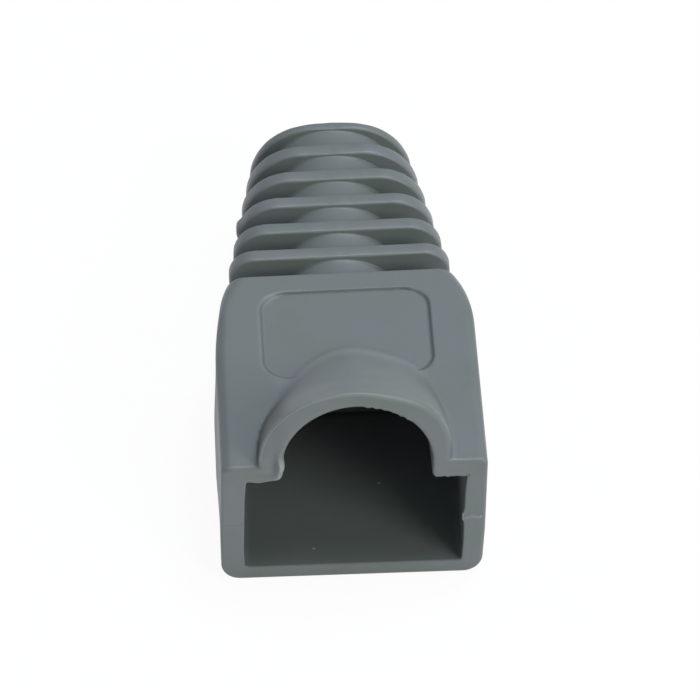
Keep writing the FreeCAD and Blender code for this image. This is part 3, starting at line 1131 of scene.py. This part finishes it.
@dataclass(frozen=True)
class MouldedPvc:
    """Soft PVC, injection moulded in a spark-eroded mould."""

    # Spark erosion leaves the mould finely pitted, so the skin is matt: broad soft lights with no
    # mirror, a little glossier where handling has rubbed it. The grey is faintly green in places.
    # PVC's index is about 1.53, and a matt moulded skin is about half rough.
    name: str = "soft_pvc_moulded"
    colour: str = "707579"
    cloud_colour: str = "6a7271"
    roughness: float = 0.52
    rubbed_roughness: float = 0.42
    ior: float = 1.53

    # The filler and the rubbed patches come and go about every 4 mm.
    cloud: float = 4.2
    cloud_detail: float = 3.0
    cloud_roughness: float = 0.55
    tone_limits: Span = Span(0.36, 0.64)
    rub_limits: Span = Span(0.3, 0.7)

    # Real spark pits are about 0.03 mm, half a pixel of the render, so they are drawn at 0.16 mm.
    grain: float = 0.16
    grain_detail: float = 2.0
    grain_height: float = 0.006

    # Thin flash lets light through and looks pale, and the same pale colour paints highlights.
    # The dark colour paints shade along the panel's sharp foot and where the shade mark lies.
    # Both lines are drawn from the panel's sizes: the painted shade along the foot, and a painted
    # highlight on a rim outside it on the left.
    flash_dust_and_painted_highlight_colour: str = "9aa09f"
    painted_shade_colour: str = "2c3131"
    foot_width: float = 0.12
    foot_depth: float = 0.62
    foot_height: Span = Span(7.8, 8.03)
    foot_fade: Span = Span(-4.6, -3.2)
    foot_left_share: float = 0.5
    rim_offset: float = 0.16
    rim_width: float = 0.14
    rim_left_of: float = -2.2
    rim_painted_highlight: float = 0.15

    # Two specks of dust lie on the socket's floor.
    dust: tuple[tuple[float, float, float], ...] = ((-2.26, 1.37, 0.85), (1.53, 6.54, 0.75))
    dust_size: float = 0.1

    def marks(self, tree: bpy.types.NodeTree, place: bpy.types.NodeSocket,
              panel: Panel) -> tuple[bpy.types.NodeSocket, bpy.types.NodeSocket]:
        """Find where the skin is pale, and where painted shade darkens it.

        Args:
            tree: The material's node tree.
            place: The place on the part, in metres.
            panel: The panel, whose outline the lines follow.

        Returns:
            How pale and how dark each place is.
        """
        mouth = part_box(NODE)[0][1]
        parts = add_node(tree, "ShaderNodeSeparateXYZ", {}, {"Vector": place})
        fade = add_node(tree, "ShaderNodeMapRange",
                        {"From Min": self.foot_fade.low * MM, "From Max": self.foot_fade.high * MM,
                         "To Min": self.foot_left_share, "To Max": 1.0},
                        {"Value": parts.outputs["X"]})
        known = {"x": parts.outputs["X"], "y": parts.outputs["Y"], "z": parts.outputs["Z"],
                 "fade": fade.outputs["Result"]}
        # The flash key reads thin flash and painted highlights; the other key reads painted shade.
        for name, attribute in (("flash", PALE), ("painted_shade", SHADED)):
            known[name] = add_node(tree, "ShaderNodeAttribute", {"attribute_name": attribute},
                                   {}).outputs["Fac"]
        middle = mouth + (panel.front + panel.rear) / 2 * MM
        straight_side = (panel.width / 2 - panel.corner) * MM
        straight_end = ((panel.rear - panel.front) / 2 - panel.corner) * MM
        # Each sum has a name, an operation, and operands that are numbers or sums named above it.
        sums = [
            ("right", "DIVIDE", "x", 1 + panel.right_stretch),
            ("even", "MINIMUM", "x", "right"),
            ("off_side", "ABSOLUTE", "even"),
            ("side", "SUBTRACT", "off_side", straight_side),
            ("from_middle", "SUBTRACT", "y", middle),
            ("off_end", "ABSOLUTE", "from_middle"),
            ("end", "SUBTRACT", "off_end", straight_end),
            ("side_out", "MAXIMUM", "side", 0.0),
            ("end_out", "MAXIMUM", "end", 0.0),
            ("side_square", "MULTIPLY", "side_out", "side_out"),
            ("end_square", "MULTIPLY", "end_out", "end_out"),
            ("square", "ADD", "side_square", "end_square"),
            ("outside", "SQRT", "square"),
            ("nearest", "MAXIMUM", "side", "end"),
            ("inside", "MINIMUM", "nearest", 0.0),
            ("distance", "ADD", "outside", "inside"),
            ("edge", "SUBTRACT", "distance", (panel.corner - panel.wall / 2) * MM),
            ("off_edge", "ABSOLUTE", "edge"),
            ("foot_gap", "DIVIDE", "off_edge", self.foot_width * MM),
            ("foot_near", "SUBTRACT", 1.0, "foot_gap"),
            ("foot", "MAXIMUM", "foot_near", 0.0),
            ("low", "LESS_THAN", "z", self.foot_height.high * MM),
            ("high", "GREATER_THAN", "z", self.foot_height.low * MM),
            ("on_panel", "MULTIPLY", "low", "high"),
            ("foot_shown", "MULTIPLY", "foot", "on_panel"),
            ("foot_faded", "MULTIPLY", "foot_shown", "fade"),
            ("foot_line", "MULTIPLY", "foot_faded", self.foot_depth),
            # The dark share is painted shade: the foot's line and the shaded mark.
            ("dark", "MAXIMUM", "foot_line", "painted_shade"),
            # A painted highlight on a rim outside the panel, on the left.
            ("from_rim", "SUBTRACT", "edge", self.rim_offset * MM),
            ("off_rim", "ABSOLUTE", "from_rim"),
            ("rim_gap", "DIVIDE", "off_rim", self.rim_width * MM),
            ("rim_near", "SUBTRACT", 1.0, "rim_gap"),
            ("rim", "MAXIMUM", "rim_near", 0.0),
            ("left", "LESS_THAN", "x", self.rim_left_of * MM),
            ("rim_high", "MULTIPLY", "high", self.rim_painted_highlight),
            ("rim_side", "MULTIPLY", "left", "rim_high"),
            ("rim_line", "MULTIPLY", "rim", "rim_side"),
            ("pale", "MAXIMUM", "flash", "rim_line"),
        ]
        for number, spot in enumerate(self.dust):
            centre = Vector(spot) * MM + Vector((0.0, mouth, 0.0))
            known[f"gap_{number}"] = add_node(tree, "ShaderNodeVectorMath",
                                              {"operation": "DISTANCE", 1: centre},
                                              {0: place}).outputs["Value"]
            sums += [(f"speck_{number}", "LESS_THAN", f"gap_{number}", self.dust_size * MM),
                     ("pale", "MAXIMUM", "pale", f"speck_{number}")]
        for name, operation, *operands in sums:
            numbers = {key: operand for key, operand in enumerate(operands)
                       if not isinstance(operand, str)}
            links = {key: known[operand] for key, operand in enumerate(operands)
                     if isinstance(operand, str)}
            known[name] = add_node(tree, "ShaderNodeMath", {"operation": operation, **numbers},
                                   links).outputs[0]
        return known["pale"], known["dark"]

    def build(self, panel: Panel) -> bpy.types.Material:
        """Make the material.

        Args:
            panel: The recess in the top face, whose sharp foot it darkens with painted shade.

        Returns:
            The finished material.
        """
        material = bpy.data.materials.new(self.name)
        material.use_nodes = True
        tree = material.node_tree
        shader = tree.nodes["Principled BSDF"]
        shader.inputs["IOR"].default_value = self.ior
        place = add_node(tree, "ShaderNodeTexCoord", {}, {}).outputs["Object"]
        cloud = add_node(tree, "ShaderNodeTexNoise",
                         {"Scale": 1 / (self.cloud * MM), "Detail": self.cloud_detail,
                          "Roughness": self.cloud_roughness}, {"Vector": place}).outputs["Fac"]
        spread = add_node(tree, "ShaderNodeMapRange",
                          {"From Min": self.tone_limits.low, "From Max": self.tone_limits.high},
                          {"Value": cloud})
        colour = add_node(tree, "ShaderNodeMix",
                          {"data_type": "RGBA", MIX_FIRST: srgb(self.colour),
                           MIX_SECOND: srgb(self.cloud_colour)},
                          {MIX_SHARE: spread.outputs["Result"]}).outputs[MIX_RESULT]
        pale, dark = self.marks(tree, place, panel)
        # The pale colour paints flash, dust and highlights; the dark colour paints shade.
        for code, share in ((self.flash_dust_and_painted_highlight_colour, pale), (self.painted_shade_colour, dark)):
            colour = add_node(tree, "ShaderNodeMix", {"data_type": "RGBA", MIX_SECOND: srgb(code)},
                              {MIX_SHARE: share, MIX_FIRST: colour}).outputs[MIX_RESULT]
        rub = add_node(tree, "ShaderNodeMapRange",
                       {"From Min": self.rub_limits.low, "From Max": self.rub_limits.high,
                        "To Min": self.rubbed_roughness, "To Max": self.roughness},
                       {"Value": cloud})
        grain = add_node(tree, "ShaderNodeTexNoise",
                         {"Scale": 1 / (self.grain * MM), "Detail": self.grain_detail},
                         {"Vector": place})
        bump = add_node(tree, "ShaderNodeBump",
                        {"Strength": 1.0, "Distance": self.grain_height * MM},
                        {"Height": grain.outputs["Fac"]})
        tree.links.new(colour, shader.inputs["Base Color"])
        tree.links.new(rub.outputs["Result"], shader.inputs["Roughness"])
        tree.links.new(bump.outputs["Normal"], shader.inputs["Normal"])
        return material


@dataclass(frozen=True)
class FloorPaper:
    """Smooth white background paper."""

    # Paper scatters light evenly, so it has no shine. The share of plain white that the camera and
    # reflections see keeps it near white in any light, and the rest keeps a faint shadow.
    name: str = "background_paper_white"
    colour: str = "fafafa"
    shown_white: float = 0.94

    def build(self) -> bpy.types.Material:
        """Make the material.

        Returns:
            The finished material.
        """
        material = bpy.data.materials.new(self.name)
        material.use_nodes = True
        tree = material.node_tree
        tree.nodes.clear()
        ray = add_node(tree, "ShaderNodeLightPath", {}, {}).outputs
        seen = add_node(tree, "ShaderNodeMath", {"operation": "ADD"},
                        {0: ray["Is Camera Ray"], 1: ray["Is Glossy Ray"]})
        seen = add_node(tree, "ShaderNodeMath", {"operation": "ADD", "use_clamp": True},
                        {0: seen.outputs[0], 1: ray["Is Transmission Ray"]})
        share = add_node(tree, "ShaderNodeMath", {"operation": "MULTIPLY", 1: self.shown_white},
                         {0: seen.outputs[0]})
        paper = add_node(tree, "ShaderNodeBsdfDiffuse", {"Color": srgb(self.colour)}, {})
        white = add_node(tree, "ShaderNodeEmission", {"Strength": 1.0}, {})
        mix = add_node(tree, "ShaderNodeMixShader", {},
                       {0: share.outputs[0], 1: paper.outputs[0], 2: white.outputs[0]})
        add_node(tree, "ShaderNodeOutputMaterial", {}, {"Surface": mix.outputs[0]})
        return material


@dataclass
class StudioCamera:
    """The camera, placed as the photograph's was. Its lens and sensor are in millimetres."""

    target: tuple[float, float, float] = (0.235, 10.15, 7.307)
    azimuth: float = -1.947
    elevation: float = 40.6
    roll: float = -1.319
    distance: float = 345.32
    lens: float = 326.8
    sensor: float = 36.0
    nearest: float = 10.0
    farthest: float = 10000.0

    def build(self) -> bpy.types.Object:
        """Add the camera and make it the scene's own.

        Returns:
            The camera's object.
        """
        back = direction(self.azimuth, self.elevation)
        roll = math.radians(self.roll)
        side = (-back).cross(Vector((0, 0, 1))).normalized()
        over = side.cross(-back)
        right = side * math.cos(roll) + over * math.sin(roll)
        up = over * math.cos(roll) - side * math.sin(roll)
        data = bpy.data.cameras.new("studio_camera")
        data.lens = self.lens
        data.sensor_width = self.sensor
        data.clip_start = self.nearest * MM
        data.clip_end = self.farthest * MM
        camera = bpy.data.objects.new("studio_camera", data)
        turn = Matrix((right, up, back)).transposed().to_4x4()
        place = (Vector(self.target) + back * self.distance) * MM
        place.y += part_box(NODE)[0][1]
        camera.matrix_world = Matrix.Translation(place) @ turn
        bpy.context.scene.collection.objects.link(camera)
        bpy.context.scene.camera = camera
        return camera


@dataclass(frozen=True)
class SoftLamp:
    """A square soft box that hangs at an angle round the part and faces it."""

    name: str
    azimuth: float
    elevation: float
    distance: float
    side: float
    watts: float
    colour: str

    def build(self) -> bpy.types.Object:
        """Add the lamp.

        Returns:
            The lamp's object.
        """
        away = direction(self.azimuth, self.elevation)
        data = bpy.data.lights.new(self.name, "AREA")
        data.energy = self.watts
        data.size = self.side * MM
        data.color = srgb(self.colour)[:3]
        lamp = bpy.data.objects.new(self.name, data)
        lamp.location = away * self.distance * MM
        lamp.rotation_euler = away.to_track_quat("Z", "Y").to_euler()
        bpy.context.scene.collection.objects.link(lamp)
        return lamp


@dataclass
class Studio:
    """The white paper floor, the soft lamps and the light of the room."""

    floor_half: float = 1500.0
    room_light: float = 0.26
    lamps: tuple[SoftLamp, ...] = (
        SoftLamp("top_soft_box", azimuth=122.0, elevation=73.0, distance=900.0, side=480.0,
                 watts=6.35, colour="ebf1fb"),
        SoftLamp("front_soft_box", azimuth=41.0, elevation=29.0, distance=900.0, side=380.0,
                 watts=3.35, colour="f9ffee"),
    )

    def floor(self) -> bpy.types.Object:
        """Lay the floor.

        Returns:
            The floor's object.
        """
        half = self.floor_half * MM
        mesh = bpy.data.meshes.new("studio_floor")
        corners = [(-half, -half, 0), (half, -half, 0), (half, half, 0), (-half, half, 0)]
        mesh.from_pydata(corners, [], [(0, 1, 2, 3)])
        mesh.materials.append(FloorPaper().build())
        floor = bpy.data.objects.new("studio_floor", mesh)
        bpy.context.scene.collection.objects.link(floor)
        return floor

    def room(self) -> None:
        """Fill the room with even white light."""
        world = bpy.data.worlds.new("studio")
        world.use_nodes = True
        background = world.node_tree.nodes["Background"]
        background.inputs["Color"].default_value = (1.0, 1.0, 1.0, 1.0)
        background.inputs["Strength"].default_value = self.room_light
        bpy.context.scene.world = world

    def build(self) -> None:
        """Set up the whole studio."""
        self.floor()
        for lamp in self.lamps:
            lamp.build()
            LOG.info("%s: %.2f W", lamp.name, lamp.watts)
        self.room()
        bpy.context.scene.view_settings.view_transform = "Standard"


def main() -> None:
    """Build the scene."""
    logging.basicConfig(level=logging.INFO, format="%(name)s: %(message)s")
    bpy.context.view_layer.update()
    camera = StudioCamera().build()
    LOG.info("%s: %.1f mm lens", camera.name, camera.data.lens)
    Studio().build()
    moulding = MouldedBoot()
    boot = moulding.build(MouldedPvc().build(moulding.block.panel))
    LOG.info("%s: %d faces", boot.name, len(boot.data.polygons))


if __name__ == "__main__":
    main()
